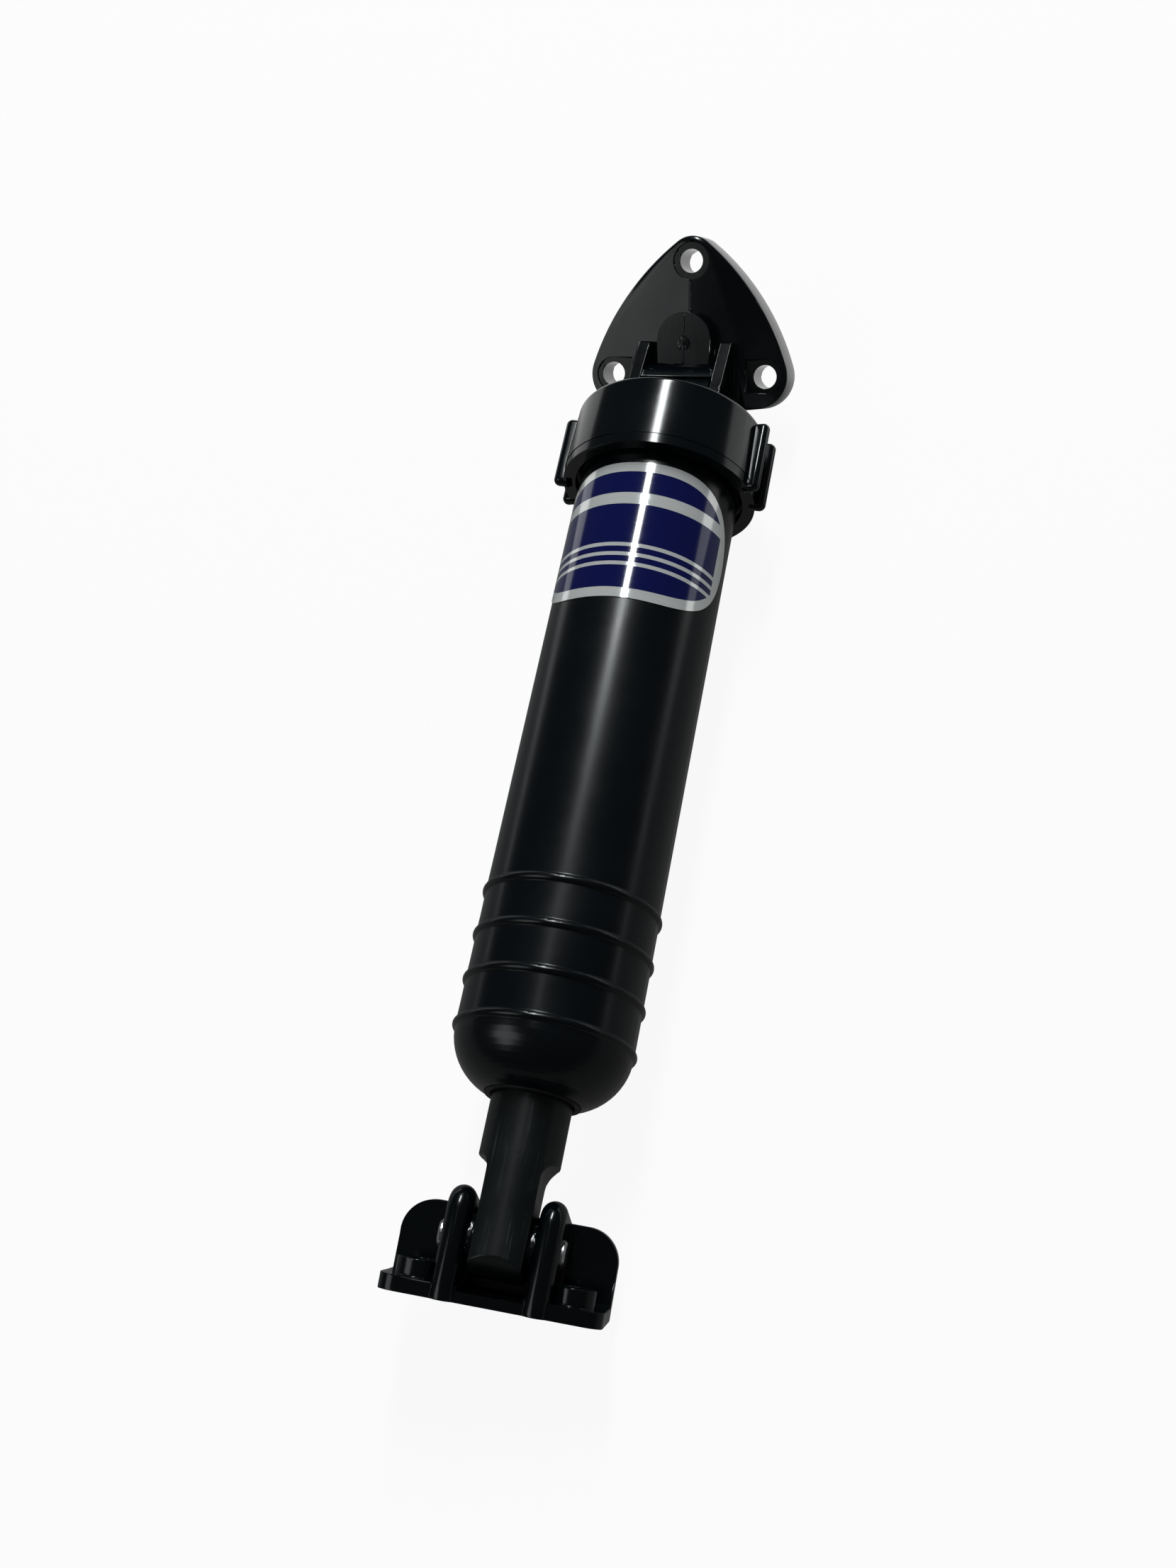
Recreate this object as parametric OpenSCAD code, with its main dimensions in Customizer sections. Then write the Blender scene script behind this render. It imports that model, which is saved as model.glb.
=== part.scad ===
// Single-acting hydraulic trim tab actuator, lying on its back.
// The barrel runs along Y with the transom hinge at +Y, the tab hinge at -Y and the label facing up.
// Each revolved piece is drawn standing on its end, with z = 0 at the dome's end, then laid down.

/* [Barrel] */
// Diameter of the bore that the piston runs in
bore_d = 34; // [32:0.1:38]
// Thickness of the barrel's wall at the head end
barrel_wall = 3.15; // [2.8:0.05:4]
// How much wider the barrel is at the dome end, by the mould's draft
barrel_draft = 1; // [0.4:0.1:1.6]
// Length from the dome's end to the open rim
barrel_l = 173; // [160:1:210]
// Height of the rounded dome below the first rib, and radius of its corner
dome_l = 14.4; // [13:0.1:16]
// Height of the bore's floor above the dome's end
floor_h = 20; // [18.5:0.5:24]
// Number of rib rings round the lower end
rib_count = 4; // [1:1:6]
// Distance from rib to rib
rib_pitch = 10.8; // [8:0.1:14]
// Radius of a rib's rounded section
rib_r = 1.1; // [0.8:0.1:1.5]
// How far a rib stands out of the barrel
rib_h = 0.7; // [0.3:0.1:0.9]

/* [Collar] */
// Thickness of the cap nut's wall round the barrel
collar_wall = 4.6; // [4:0.1:6]
// How much narrower the nut's top is than its skirt, by the mould's draft
collar_draft = 1.2; // [0.4:0.1:2]
// Height from its lip to its top
collar_h = 19.8; // [17:0.1:22]
// Thickness of its top, which clamps the head
collar_top_t = 3.2; // [2:0.1:4]
// Thickness of its wall at the lip
collar_lip_t = 3.1; // [2:0.1:3.4]
// Height of the stepped lip
collar_step_h = 2.6; // [1:0.1:4]
// How far the lip is set back from the outside
collar_step = 0.15; // [0.1:0.05:0.6]
// Radius of the rounded top edge
collar_edge_r = 1.6; // [0.5:0.1:2]
// Number of grip lugs in a group
lug_count = 2; // [1:1:3]
// Angle between two lugs of a group
lug_pitch_deg = 20; // [16:1:30]
// Turn of the nut from the middle of its two lug groups to the barrel's side
collar_turn_deg = -1; // [-8:1:8]
// Width of a grip lug
lug_w = 3.2; // [2:0.1:5]
// How far a grip lug stands out of the collar
lug_h = 2.5; // [1.5:0.1:4]
// Height of a grip lug
lug_l = 19.6; // [12:0.1:20]
// Distance from the nut's top down to a grip lug
lug_drop = 0.8; // [0.4:0.1:2]

/* [Head and seals] */
// Thickness of the head's flange under the collar
flange_t = 3.4; // [2.5:0.1:5]
// Length of the head's spigot in the bore
spigot_l = 14; // [11:0.5:18]
// How much smaller than the bore the boss is that passes through the collar
head_boss_step = 1; // [0.5:0.1:2]
// Width of the lug between the hinge's ears
lug_hinge_w = 18.2; // [14:0.1:20]
// Radius of the lug's rounded end
lug_hinge_r = 7; // [6:0.1:7.4]
// Diameter of the oil passages
passage_d = 1.8; // [1.2:0.1:2]
// Section diameter of the head's seal ring
head_ring_d = 3; // [2:0.1:3.6]
// Section diameter of the pin's seal rings
pin_ring_d = 1.5; // [1:0.1:1.8]
// Distance from the lug's sides to the middle of the pin's seal rings
ring_inset = 3.2; // [2:0.1:4]

/* [Upper hinge] */
// Distance from the barrel's rim up to the hinge pin
upper_reach = 14.4; // [14:0.1:17]
// Angle between the plate and the barrel as photographed
upper_tilt_deg = 36; // [0:1:70]
// Distance from the pin to the plate's front face
standoff = 9.4; // [9:0.1:13]
// Thickness of the plate
plate_t = 11; // [9:0.1:13]
// Draft by which each half of the plate's front leans away from the middle
front_draft_deg = 1.5; // [0.5:0.1:3]
// Radius of the plate's rounded front edge
plate_edge_r = 1.4; // [0.6:0.1:2]
// Height of the lower screw holes above the pin
hole_low_h = 7.5; // [6:0.1:12]
// Height of the top screw hole above the lower ones
hole_rise = 29.1; // [26:0.1:36]
// Distance between the lower screw holes
hole_span = 41; // [38:0.1:48]
// Diameter of the screw holes
hole_d = 6.1; // [5:0.1:6.6]
// Radius of the plate's top corner
corner_top_r = 6.4; // [6:0.1:9]
// Radius of the plate's lower corners
corner_low_r = 8.4; // [7:0.1:9]
// How far the lower corners' middle lies inside the screw holes
corner_low_in = 2.5; // [1:0.1:3]
// Radius of the plate's curved sides
side_r = 66; // [50:1:120]
// Radius of the plate's curved lower edge
low_edge_r = 160; // [90:1:200]
// Depth of the cored back inside the plate's rim
core_depth = 6; // [3:0.1:8]
// Thickness of the plate's rim
rim_t = 2.6; // [2:0.1:3.2]
// Thickness of each ear
ear_t = 3; // [2.8:0.1:4.5]
// Radius of the ears round the pin
ear_r = 6.9; // [6:0.1:7.3]
// Height of the ears' top above the pin
ear_top_h = 16; // [14:0.1:18]
// Distance from the pin down to the ears' lower root
ear_low = 0.6; // [0:0.1:1.4]
// Height of the lower side of the block between the ears above the pin
block_low_h = 1.2; // [1:0.1:4]
// Height of the block's front edge above the pin
block_h = 8.7; // [8:0.1:9.6]
// How far the ears' top stands out of the plate
ear_top_out = 3.4; // [2:0.1:6]
// Width of the arched port boss
port_boss_w = 14.3; // [12:0.1:16]
// Height of the port boss's flat foot above the pin
port_foot_h = 10; // [9:0.1:12]
// Height of the centre of the port boss's arch above the pin
port_h = 16.4; // [14:0.1:20]
// How far the port boss stands out of the plate
port_out = 5.2; // [3:0.1:6]
// Diameter of the hydraulic port in the plate's back
port_d = 8.6; // [7:0.1:9.5]
// Depth of the hydraulic port
port_depth = 10; // [7:0.1:11]
// Diameter of both hinge pins
pin_d = 6.35; // [5:0.05:7]

/* [Ram] */
// Diameter of the ram
ram_d = 18.5; // [16:0.1:20]
// Distance from the dome's end down to the lower pin
lower_reach = 31.6; // [30:0.1:40]
// Distance from the lower pin to the ram's end
ram_end_h = 7.9; // [7:0.1:8.2]
// Radius of the ram's rounded end
ram_end_r = 14; // [13:1:24]
// Width across the flats that pass between the ears
flat_w = 12; // [11:0.1:14]
// Height of the flats above the lower pin
flat_h = 14.2; // [13:0.1:17]
// Turn of the ram in the barrel as photographed
ram_turn_deg = 10.5; // [-20:0.5:20]

/* [Piston and spring] */
// Height of the piston
piston_h = 13; // [11:0.1:16]
// Height of the piston's cup seal
cup_h = 4; // [3:0.1:5]
// Height of the piston's bearing ring
wear_h = 3.2; // [2:0.1:4]
// Depth of the grooves that the two rings sit in
groove_depth = 2.6; // [2:0.1:3.2]
// Thickness of the spring's upper seat
seat_t = 2; // [1.5:0.1:3]
// Diameter of the spring's wire
wire_d = 2.4; // [1.6:0.1:2.8]
// Number of turns of the spring
spring_turns = 13; // [8:1:16]

/* [Gland] */
// Thickness of the ram's bearing sleeve
bushing_wall = 3.15; // [2:0.05:3.4]
// Thickness of the bearing sleeve's flange
bushing_flange_t = 2; // [1.5:0.1:3]
// Height of the ram's lip seal
rod_seal_h = 5; // [4:0.1:6]
// Height of the wiper ring
wiper_h = 2.4; // [1.6:0.1:2.6]
// Thickness of the wiper ring
wiper_wall = 1.75; // [1.2:0.05:2.2]

/* [Lower hinge] */
// Angle between the bracket's wall and the ram as photographed
lower_tilt_deg = 13; // [-20:1:40]
// Distance from the lower pin to the bracket's foot
foot_h = 13.5; // [13.2:0.1:17]
// Distance from the screws to the foot's ends
foot_side = 7.5; // [6:0.1:12]
// Distance from the lower pin to the foot's front edge
foot_front = 7; // [6:0.1:10]
// Thickness of the foot
foot_t = 3.5; // [2.8:0.1:4.5]
// How much thinner the foot is between the ears
foot_relief = 1.1; // [0.5:0.1:1.5]
// Radius of the foot's front corners
foot_corner_r = 4; // [3:0.1:6]
// Distance from the ears' outside faces to the screws
screw_out = 4.2; // [4:0.1:7]
// Diameter of the screw bosses
screw_boss_d = 9.6; // [8:0.1:11]
// Height of the screw bosses above the foot
screw_boss_h = 3.9; // [2:0.1:5]
// Diameter of the screw holes
screw_d = 4.8; // [4:0.1:6]
// Distance from the lower pin back to the wall
wall_back = 11.4; // [11.2:0.1:14]
// Thickness of the wall
wall_t = 3.6; // [3:0.1:5]
// Height of the wall above the lower pin
wall_top = 6.3; // [4:0.1:6.5]
// Radius of the wall's top corners
wall_corner_r = 7.6; // [5:0.1:9]
// Length of the hub on the inside of each ear
hub_l = 1; // [0.6:0.1:2]
// Diameter of the hubs
hub_d = 10.4; // [9:0.1:11]
// Thickness of an ear
lower_ear_t = 5.8; // [4.5:0.1:7]
// Radius of the ears' rounded top
lower_ear_r = 6; // [5:0.1:7]
// Height of the ears above the lower pin
lower_ear_top = 11.1; // [9:0.1:12]
// How far the ears stand out in front of the foot
lower_ear_out = 1.4; // [0.5:0.1:2.5]
// How far the lower pin stands out of each ear
lower_pin_out = 1; // [0.3:0.1:1.5]

/* [Label] */
// Thickness of the foil label
foil_t = 0.14; // [0.1:0.01:0.3]
// Radius of the round outline that trims the foil seen from the side
foil_r = 18.8; // [12:0.1:20]
// Distance from the collar's lip down to the foil
foil_gap = 3.4; // [1:0.1:20]

/* [Fits] */
// Radial clearance of pins, shafts and their bearings
fit_c = 0.05; // [0.02:0.01:0.08]
// Clearance between pieces that move past each other
gap = 0.3; // [0.2:0.05:0.4]
// Clearance round pieces that sit in a groove or a seat
seat_c = 0.1; // [0.05:0.01:0.15]
// Radial clearance of a pin that is held in its ears
press_c = 0.01; // [0.005:0.005:0.03]

/* [Hidden] */
$fn = 96;
// overrun of every cut past the face that it opens
over = 1;
// depth and height of one thread ridge, and how many the collar's thread has
thread_depth = 0.8;
thread_pitch = 2.4;
thread_count = 3;
// distance of the highest ridge below the rim
thread_drop = 3;
// small chamfer of turned ends and edge breaks of moulded ones
chamfer = 0.5;
// radius and depth of the seat pockets round the screw holes
pocket_top_r = 4.8;
pocket_low_r = 4.4;
pocket_depth = 0.7;
// how far the lower pockets reach from the screw towards the ear
pocket_reach = 5.2;
// layers of the plate's rounded edge
edge_steps = 4;
// sides of the spring's wire and rings in one turn
wire_sides = 8;
turn_rings = 20;
// sides of small bores and of the faces that a hull makes
hull_faces = 32;
// steps of one arc in a worked out outline
arc_steps = 16;
// size of the piston's screw
screw_head_d = 12;
screw_head_h = 4;
screw_shank_d = 6;
screw_shank_l = 22;
hex_d = 6;
hex_depth = 2.4;
washer_d = 15;
washer_t = 1.6;
// height and thickness of the parting ridge down the plate
ridge_w = 0.5;
ridge_h = 0.25;
// size of the square pocket in the collar's lip and where it lies
notch_w = 4;
notch_t = 1.5;
notch_h = 2;
notch_deg = 193;

barrel_head_d = bore_d + 2 * barrel_wall;
barrel_d = barrel_head_d + barrel_draft;
collar_d = barrel_head_d + 2 * collar_wall;
head_boss_d = bore_d - head_boss_step;
// radius of the head's seal ring's section once it is squeezed in its groove
head_ring_section_r = head_ring_d / 2 - chamfer / 2;
ring_spread = lug_hinge_w / 2 - ring_inset;
ears_w = lug_hinge_w + 2 * gap + 2 * ear_t;
spring_d = (bore_d + ram_d) / 2;
bushing_d = ram_d + 2 * bushing_wall;
wiper_d = ram_d + 2 * wiper_wall;
lower_gap = flat_w + 2 * (gap + hub_l);
screw_span = lower_gap + 2 * (lower_ear_t + screw_out);
foot_w = screw_span + 2 * foot_side;
ram_r = ram_d / 2;
bore_r = bore_d / 2;
pin_r = pin_d / 2;
collar_r = collar_d / 2;
rim_z = barrel_l;
flange_top_z = rim_z + flange_t;
collar_top_z = flange_top_z + collar_top_t;
collar_low_z = collar_top_z - collar_h;
foil_h = collar_low_z - foil_gap - foil_r;
upper_pin_z = rim_z + upper_reach;
lower_pin_z = -lower_reach;
spigot_low_z = rim_z - spigot_l;
piston_top_z = spigot_low_z - gap;
piston_low_z = piston_top_z - piston_h;
seat_low_z = piston_low_z - seat_t - seat_c;
spring_foot_z = floor_h + bushing_flange_t;
ram_top_z = piston_low_z + piston_h / 2;
plate_back_n = -standoff - plate_t;
ear_x = (ears_w - ear_t) / 2;
wall_rear_n = -wall_back - wall_t;

// outermost places of the lying part, which centre it on the frame's origin
axis_z = collar_r;
y_high = upper_pin_z + (hole_low_h + hole_rise + corner_top_r) * cos(upper_tilt_deg)
    - plate_back_n * sin(upper_tilt_deg);
y_low = lower_pin_z - foot_h * cos(lower_tilt_deg)
    - (foot_front + lower_ear_out) * sin(lower_tilt_deg);
frame_y = -(y_high + y_low) / 2;
x_low = -foot_w / 2 * cos(ram_turn_deg)
    + (wall_rear_n * cos(lower_tilt_deg) - foot_h * sin(lower_tilt_deg)) * sin(ram_turn_deg);
lug_turns = [for (i = [0 : lug_count - 1]) (i - (lug_count - 1) / 2) * lug_pitch_deg];
x_high = (collar_r + lug_h - lug_w / 2) * max([for (a = lug_turns) cos(a + collar_turn_deg)]) + lug_w / 2;
frame_x = -(x_high + x_low) / 2;

// radius of the drafted barrel at height z
function barrel_r(z) = barrel_d / 2 + (barrel_head_d - barrel_d) / 2 * (z - dome_l) / (barrel_l - dome_l);

// points of an arc about c from angle a0 to a1, without its first point if first is 1
function arc(c, r, a0, a1, first = 0) =
    [for (i = [first : arc_steps]) let (a = a0 + (a1 - a0) * i / arc_steps) c + r * [cos(a), sin(a)]];

// centre of the big circle that touches two corner circles from outside, on the left of p to q
function side_centre(p, rp, q, rq, r) =
    let (d = norm(q - p), e = (q - p) / d, dp = r - rp, dq = r - rq,
        a = (d * d + dp * dp - dq * dq) / (2 * d))
    p + a * e + sqrt(dp * dp - a * a) * [-e[1], e[0]];

function angle_of(v) = atan2(v[1], v[0]);

// lays a piece drawn upright on the barrel's axis
module laid() {
    translate([frame_x, frame_y, axis_z]) rotate([-90, 0, 0]) children();
}

// places a piece drawn about the upper pin: x across, y up the plate, z out of its front
module at_upper() {
    translate([frame_x, frame_y + upper_pin_z, axis_z]) rotate([upper_tilt_deg, 0, 0]) children();
}

// places the ram, which is drawn like the barrel but turned in it
module at_ram() {
    translate([frame_x, frame_y, axis_z]) rotate([0, ram_turn_deg, 0]) rotate([-90, 0, 0]) children();
}

// places a piece drawn about the lower pin: x across, y up the wall, z out of its front
module at_lower() {
    translate([frame_x, frame_y, axis_z]) rotate([0, ram_turn_deg, 0])
        translate([0, lower_pin_z, 0]) rotate([lower_tilt_deg, 0, 0]) children();
}

// round bar along x, centred
module bar(d, l) {
    rotate([0, 90, 0]) cylinder(d = d, h = l, center = true);
}

// plain ring or tube standing on z
module tube(d_out, d_in, z0, h) {
    translate([0, 0, z0]) difference() {
        cylinder(d = d_out, h = h);
        translate([0, 0, -over]) cylinder(d = d_in, h = h + 2 * over);
    }
}

// ridges or grooves of the collar's thread, as a set of coned rings
module thread_rings(r, depth) {
    for (i = [0 : thread_count - 1])
        translate([0, 0, rim_z - thread_drop - i * thread_pitch])
            rotate_extrude() polygon([[r - over, -thread_pitch / 2 + chamfer / 2],
                [r, -thread_pitch / 2 + chamfer / 2], [r + depth, -chamfer / 2], [r + depth, chamfer / 2],
                [r, thread_pitch / 2 - chamfer / 2], [r - over, thread_pitch / 2 - chamfer / 2]]);
}

// bore steps of the dome, from the wiper's seat to the bearing sleeve's
wiper_seat_z = wiper_h + chamfer;
seal_seat_z = wiper_seat_z + chamfer;
bushing_low_z = seal_seat_z + rod_seal_h;

module barrel() {
    color([0.03, 0.03, 0.035]) laid() {
        flat_r = barrel_d / 2 - dome_l;
        difference() {
            union() {
                rotate_extrude() polygon(concat([[0, 0]],
                    arc([flat_r, dome_l], dome_l, -90, 0),
                    [[barrel_r(rim_z), rim_z], [0, rim_z]]));
                for (i = [0 : rib_count - 1])
                    let (z = dome_l + i * rib_pitch)
                        translate([0, 0, z]) rotate_extrude()
                            translate([barrel_r(z) + rib_h - rib_r, 0]) circle(r = rib_r, $fn = hull_faces);
                thread_rings(barrel_head_d / 2, thread_depth);
            }
            translate([0, 0, floor_h]) cylinder(d = bore_d, h = rim_z);
            translate([0, 0, seal_seat_z]) cylinder(d = bushing_d + 2 * seat_c, h = floor_h);
            translate([0, 0, -over]) cylinder(d = ram_d + 4 * gap, h = floor_h);
            translate([0, 0, -over]) cylinder(d = wiper_d + 2 * seat_c, h = wiper_seat_z + over);
            translate([0, 0, rim_z - chamfer])
                cylinder(d1 = bore_d, d2 = bore_d + 2 * chamfer + over, h = chamfer + over);
        }
    }
}

// cap nut that holds the head on the barrel; its skirt hangs clear of the barrel below the thread
module collar() {
    top_r = collar_r - collar_draft / 2;
    inner_low_r = collar_r - collar_step - collar_lip_t;
    inner_r = barrel_head_d / 2 + gap;
    thread_low_z = rim_z - thread_drop - thread_count * thread_pitch;
    color([0.04, 0.04, 0.045]) laid() rotate([0, 0, collar_turn_deg]) difference() {
        union() {
            rotate_extrude() polygon(concat(
                [[inner_r, thread_low_z], [inner_low_r, thread_low_z - chamfer],
                    [inner_low_r, collar_low_z], [collar_r - collar_step, collar_low_z],
                    [collar_r - collar_step, collar_low_z + collar_step_h],
                    [collar_r, collar_low_z + collar_step_h]],
                arc([top_r - collar_edge_r, collar_top_z - collar_edge_r], collar_edge_r, 0, 90),
                [[head_boss_d / 2 + gap, collar_top_z], [head_boss_d / 2 + gap, flange_top_z],
                    [inner_r, flange_top_z]]));
            for (side = [0, 180], a = lug_turns) rotate([0, 0, side + a]) grip_lug();
        }
        thread_rings(barrel_head_d / 2 + seat_c, thread_depth);
        rotate([0, 0, notch_deg])
            translate([inner_low_r + (collar_lip_t - notch_t) / 2, -notch_w / 2, collar_low_z - over])
            cube([notch_t, notch_w, notch_h + over]);
    }
}

// one upright bar of the collar's grip, with a rounded face and ends
module grip_lug() {
    lug_z = collar_top_z - lug_drop - lug_l / 2;
    hull() for (z = [-lug_l / 2 + lug_w / 2, lug_l / 2 - lug_w / 2])
        translate([collar_r - collar_edge_r, 0, lug_z + z]) {
            translate([lug_h + collar_edge_r - lug_w / 2, 0, 0]) sphere(d = lug_w, $fn = hull_faces);
            rotate([0, 90, 0]) cylinder(d = lug_w, h = chamfer, $fn = hull_faces);
        }
}

module cylinder_head() {
    ring_z = spigot_low_z + spigot_l / 2;
    groove_d = bore_d - 2 * (fit_c + 2 * head_ring_section_r + seat_c);
    color([0.05, 0.05, 0.055]) laid() difference() {
        union() {
            translate([0, 0, rim_z]) cylinder(d = barrel_head_d, h = flange_t);
            translate([0, 0, spigot_low_z]) cylinder(d = bore_d - 2 * seat_c, h = spigot_l + over);
            translate([0, 0, flange_top_z - over]) cylinder(d = head_boss_d, h = collar_top_t + over);
            intersection() {
                rotate([90, 0, 90]) linear_extrude(lug_hinge_w, center = true) union() {
                    translate([0, upper_pin_z]) circle(r = lug_hinge_r);
                    translate([-lug_hinge_r, flange_top_z])
                        square([2 * lug_hinge_r, upper_pin_z - flange_top_z]);
                }
                translate([0, 0, flange_top_z]) cylinder(d = head_boss_d, h = upper_reach + lug_hinge_r);
            }
        }
        translate([0, 0, upper_pin_z]) bar(pin_d + 2 * fit_c, ears_w);
        for (side = [-1, 1]) translate([side * ring_spread, 0, upper_pin_z])
            bar(pin_d + 2 * pin_ring_d, pin_ring_d + 2 * seat_c);
        translate([0, 0, spigot_low_z - over])
            cylinder(d = passage_d, h = upper_pin_z - spigot_low_z + over, $fn = hull_faces);
        tube(bore_d + over, groove_d, ring_z - head_ring_section_r - seat_c,
            2 * (head_ring_section_r + seat_c));
    }
}

module head_seal_ring() {
    ring_z = spigot_low_z + spigot_l / 2;
    color([0.02, 0.02, 0.02]) laid() translate([0, 0, ring_z]) rotate_extrude()
        translate([bore_r - fit_c - head_ring_section_r, 0])
            circle(r = head_ring_section_r, $fn = hull_faces);
}

module rod_bushing() {
    color([0.85, 0.83, 0.76]) laid() difference() {
        union() {
            translate([0, 0, bushing_low_z]) cylinder(d = bushing_d, h = floor_h - bushing_low_z + chamfer);
            translate([0, 0, floor_h]) cylinder(d = bore_d - 2 * seat_c, h = bushing_flange_t);
        }
        cylinder(d = ram_d + 2 * fit_c, h = floor_h + bushing_flange_t + over);
    }
}

module rod_seal() {
    color([0.1, 0.1, 0.1]) laid() difference() {
        translate([0, 0, seal_seat_z]) cylinder(d = bushing_d, h = rod_seal_h - seat_c);
        cylinder(d = ram_d + 2 * fit_c, h = floor_h);
        translate([0, 0, bushing_low_z - rod_seal_h / 2])
            tube((bushing_d + ram_d) / 2 + chamfer, (bushing_d + ram_d) / 2 - chamfer, 0, rod_seal_h);
    }
}

module wiper() {
    color([0.02, 0.02, 0.02]) laid() difference() {
        translate([0, 0, wiper_seat_z - wiper_h]) cylinder(d = wiper_d, h = wiper_h);
        cylinder(d = ram_d + 2 * fit_c, h = floor_h);
        cylinder(d1 = ram_d + 4 * chamfer, d2 = ram_d, h = wiper_h / 2);
    }
}

// foil wrapped on the drafted barrel, trimmed by a round outline as wide as it is high
module label_foil() {
    low_z = foil_h - foil_r - over;
    high_z = foil_h + foil_r + over;
    color([0.75, 0.76, 0.8]) laid() intersection() {
        rotate_extrude() polygon([[barrel_r(low_z) + fit_c, low_z], [barrel_r(low_z) + fit_c + foil_t, low_z],
            [barrel_r(high_z) + fit_c + foil_t, high_z], [barrel_r(high_z) + fit_c, high_z]]);
        translate([0, -barrel_head_d / 2, foil_h]) bar(2 * foil_r, barrel_d + 2 * over);
    }
}

// points of one ring of wire at turn a and height z
function wire_ring(a, z) = [for (k = [0 : wire_sides - 1])
    let (b = 360 * k / wire_sides, r = spring_d / 2 + wire_d / 2 * cos(b))
    [r * cos(a), r * sin(a), z + wire_d / 2 * sin(b)]];

module return_spring() {
    z0 = spring_foot_z + seat_c + wire_d / 2;
    z1 = seat_low_z - seat_c - wire_d / 2;
    n = spring_turns * turn_rings;
    // the first and last turn lie nearly flat, as ground ends do
    dead = turn_rings * 3 / 4;
    free = n - 2 * dead;
    end_rise = wire_d + seat_c;
    function rise(i) = i < dead ? end_rise * i / dead
        : i > n - dead ? z1 - z0 - end_rise * (n - i) / dead
        : end_rise + (z1 - z0 - 2 * end_rise) * (i - dead) / free;
    points = [for (i = [0 : n]) each wire_ring(360 * i / turn_rings, z0 + rise(i))];
    last = n * wire_sides;
    sides = [for (i = [0 : n - 1], k = [0 : wire_sides - 1])
        let (a = i * wire_sides, b = (k + 1) % wire_sides)
        each [[a + k, a + wire_sides + k, a + wire_sides + b], [a + k, a + wire_sides + b, a + b]]];
    caps = [for (k = [1 : wire_sides - 2]) each [[0, k, k + 1], [last, last + k + 1, last + k]]];
    color([0.6, 0.62, 0.65]) laid() polyhedron(points = points, faces = concat(sides, caps));
}

// corners of the upper plate's outline and the three side circles between them
corner_top = [0, hole_low_h + hole_rise];
corner_left = [-hole_span / 2 + corner_low_in, hole_low_h];
corner_right = [hole_span / 2 - corner_low_in, hole_low_h];
screw_places = [corner_top, [-hole_span / 2, hole_low_h], [hole_span / 2, hole_low_h]];

// closed outline of the upper plate, set in by the given amount
function plate_outline(inset) =
    let (t = corner_top, l = corner_left, r = corner_right,
        rt = corner_top_r - inset, rl = corner_low_r - inset,
        rs = side_r - inset, rb = low_edge_r - inset,
        cs = side_centre(r, rl, t, rt, rs), cb = side_centre(l, rl, r, rl, rb),
        low = angle_of(r - cs), high = angle_of(t - cs), foot = angle_of(r - cb) + 360)
    concat(arc(cs, rs, low, high, 1),
        arc(t, rt, high, 180 - high, 1),
        arc([-cs[0], cs[1]], rs, 180 - high, 180 - low, 1),
        arc(l, rl, 180 - low, 540 - foot, 1),
        arc(cb, rb, 540 - foot, foot, 1),
        arc(r, rl, foot, low + 360, 1));

module upper_hinge() {
    color([0.035, 0.035, 0.04]) at_upper() {
        front = -standoff;
        // the pockets' floors lie this far below the middle of the drafted front
        low_front = front - hole_span / 2 * tan(front_draft_deg);
        difference() {
            union() {
                plate();
                for (side = [-1, 1]) translate([side * ear_x, 0, 0]) ear();
                block();
                port_boss();
                translate([-ridge_w / 2, port_h, front - over])
                    cube([ridge_w, hole_low_h + hole_rise - port_h, over + ridge_h]);
            }
            bar(pin_d + 2 * press_c, ears_w + 2 * over);
            for (p = screw_places) translate([p[0], p[1], plate_back_n - over])
                cylinder(d = hole_d, h = plate_t + 2 * over);
            translate([corner_top[0], corner_top[1], front - pocket_depth])
                cylinder(r = pocket_top_r, h = over + pocket_depth + ridge_h);
            for (side = [-1, 1]) translate([0, 0, low_front - pocket_depth]) lower_pocket(side);
            core();
            translate([0, port_h, plate_back_n - over]) cylinder(d = port_d, h = port_depth + over);
            passage();
        }
    }
}

// plate with a rounded front edge, whose two halves lean back a little from the middle
module plate() {
    w = hole_span;
    drop = w * tan(front_draft_deg);
    intersection() {
        translate([0, 0, plate_back_n]) hull()
            for (i = [0 : edge_steps]) let (a = 90 * i / edge_steps)
                linear_extrude(plate_t - plate_edge_r * (1 - sin(a)))
                    polygon(plate_outline(plate_edge_r * (1 - cos(a))));
        translate([0, corner_top[1] / 2, 0]) rotate([90, 0, 0]) linear_extrude(2 * w, center = true)
            polygon([[-w, plate_back_n - over], [w, plate_back_n - over], [w, -standoff - drop],
                [0, -standoff], [-w, -standoff - drop]]);
    }
}

// one of the two ears that carry the pin, seen from the side: round, with straight flanks to the plate
module ear() {
    root = -standoff - over;
    top = [ear_top_h, -standoff + ear_top_out];
    low = [-ear_low, root];
    rotate([90, 0, 90]) linear_extrude(ear_t, center = true) union() {
        circle(r = ear_r);
        polygon([flank(top, 1), top, [ear_top_h, root], low, flank(low, -1)]);
    }
}

// point where a flank from p meets the ear's round, a little inside it so that the two cross cleanly
function flank(p, side) =
    let (r = ear_r - seat_c, a = angle_of(p) + side * acos(r / norm(p))) r * [cos(a), sin(a)];

// block between the ears: flush with them in front, hollowed round the head's lug below
module block() {
    root = -standoff - over;
    top = [ear_top_h, -standoff + ear_top_out];
    low = flank(top, 1);
    clear_r = lug_hinge_r + gap;
    front = top + (low - top) * (top[0] - block_h) / (top[0] - low[0]);
    rotate([90, 0, 90]) linear_extrude(ears_w - ear_t, center = true) difference() {
        polygon([[block_low_h, root], [port_foot_h, root], [port_foot_h, -standoff + port_out],
            front, low, [block_low_h, 0]]);
        circle(r = clear_r);
        square([clear_r - seat_c, clear_r]);
    }
}

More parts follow.
